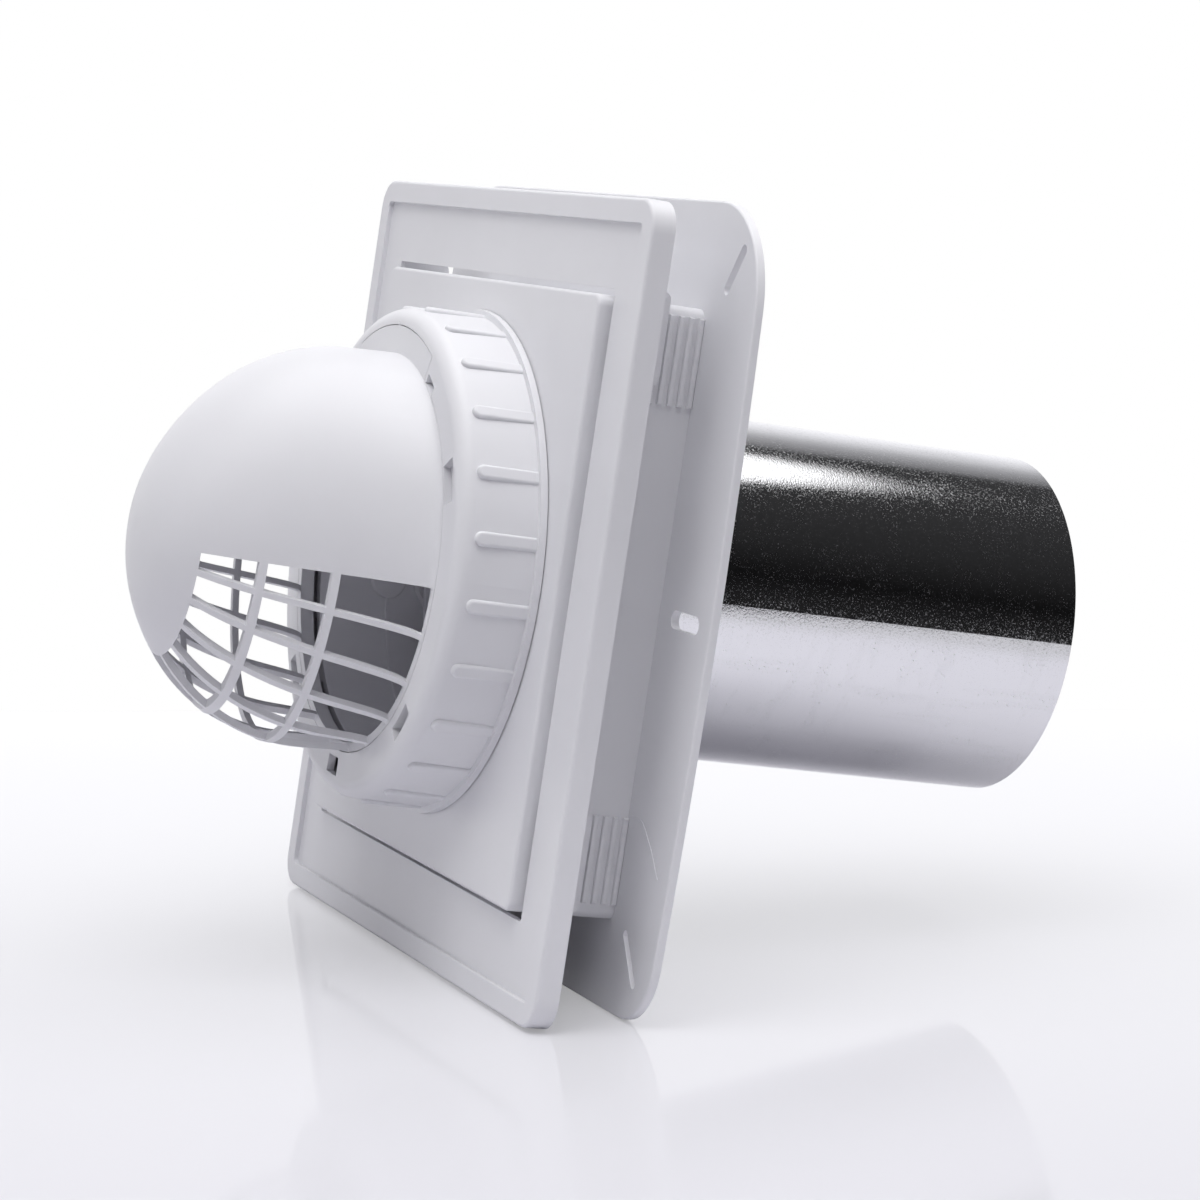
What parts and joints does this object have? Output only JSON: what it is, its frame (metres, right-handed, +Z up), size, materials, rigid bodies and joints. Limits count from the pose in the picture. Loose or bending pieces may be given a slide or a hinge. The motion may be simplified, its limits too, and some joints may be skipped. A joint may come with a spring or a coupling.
{
  "type": "dryer vent cap",
  "caption": "Wall-mounted dryer vent cap with a hooded guard cage on a twist ring, a siding trim frame, a hinged damper flap and a round metal duct tail.",
  "frame": {"origin": "on the duct tail's axis, in the plane of the nailing flange's back", "axes": "+X to the right seen from the front, +Y into the wall along the duct, +Z up"},
  "size_m": [0.2304, 0.2715, 0.2248],
  "materials": {
    "white_plastic": "semi-gloss moulded",
    "seal_rubber": "matte",
    "pin_steel": "drawn wire",
    "duct_aluminium": "bright sheet"
  },
  "bodies": {
    "base": {"base_housing": "white_plastic", "duct_pipe": "duct_aluminium", "duct_rivets": "duct_aluminium", "damper_seal": "seal_rubber", "hinge_pin": "pin_steel"},
    "trim": {"trim_frame": "white_plastic"},
    "cap": {"twist_ring": "white_plastic", "vent_hood": "white_plastic"},
    "flap": {"damper_flap": "white_plastic"}
  },
  "joints": [
    {"name": "trim_slide", "type": "slide", "parent": "base", "child": "trim", "axis": [0, 1, 0], "range_m": [0, 0.0118]},
    {"name": "cap_twist", "type": "hinge", "parent": "base", "child": "cap", "pos_m": [0, -0.046, -0.0011], "axis": [0, 1, 0], "range_deg": [0, 20]},
    {"name": "flap_hinge", "type": "hinge", "parent": "base", "child": "flap", "pos_m": [0, -0.019, 0.0501], "axis": [-1, 0, 0], "range_deg": [0, 38]}
  ]
}
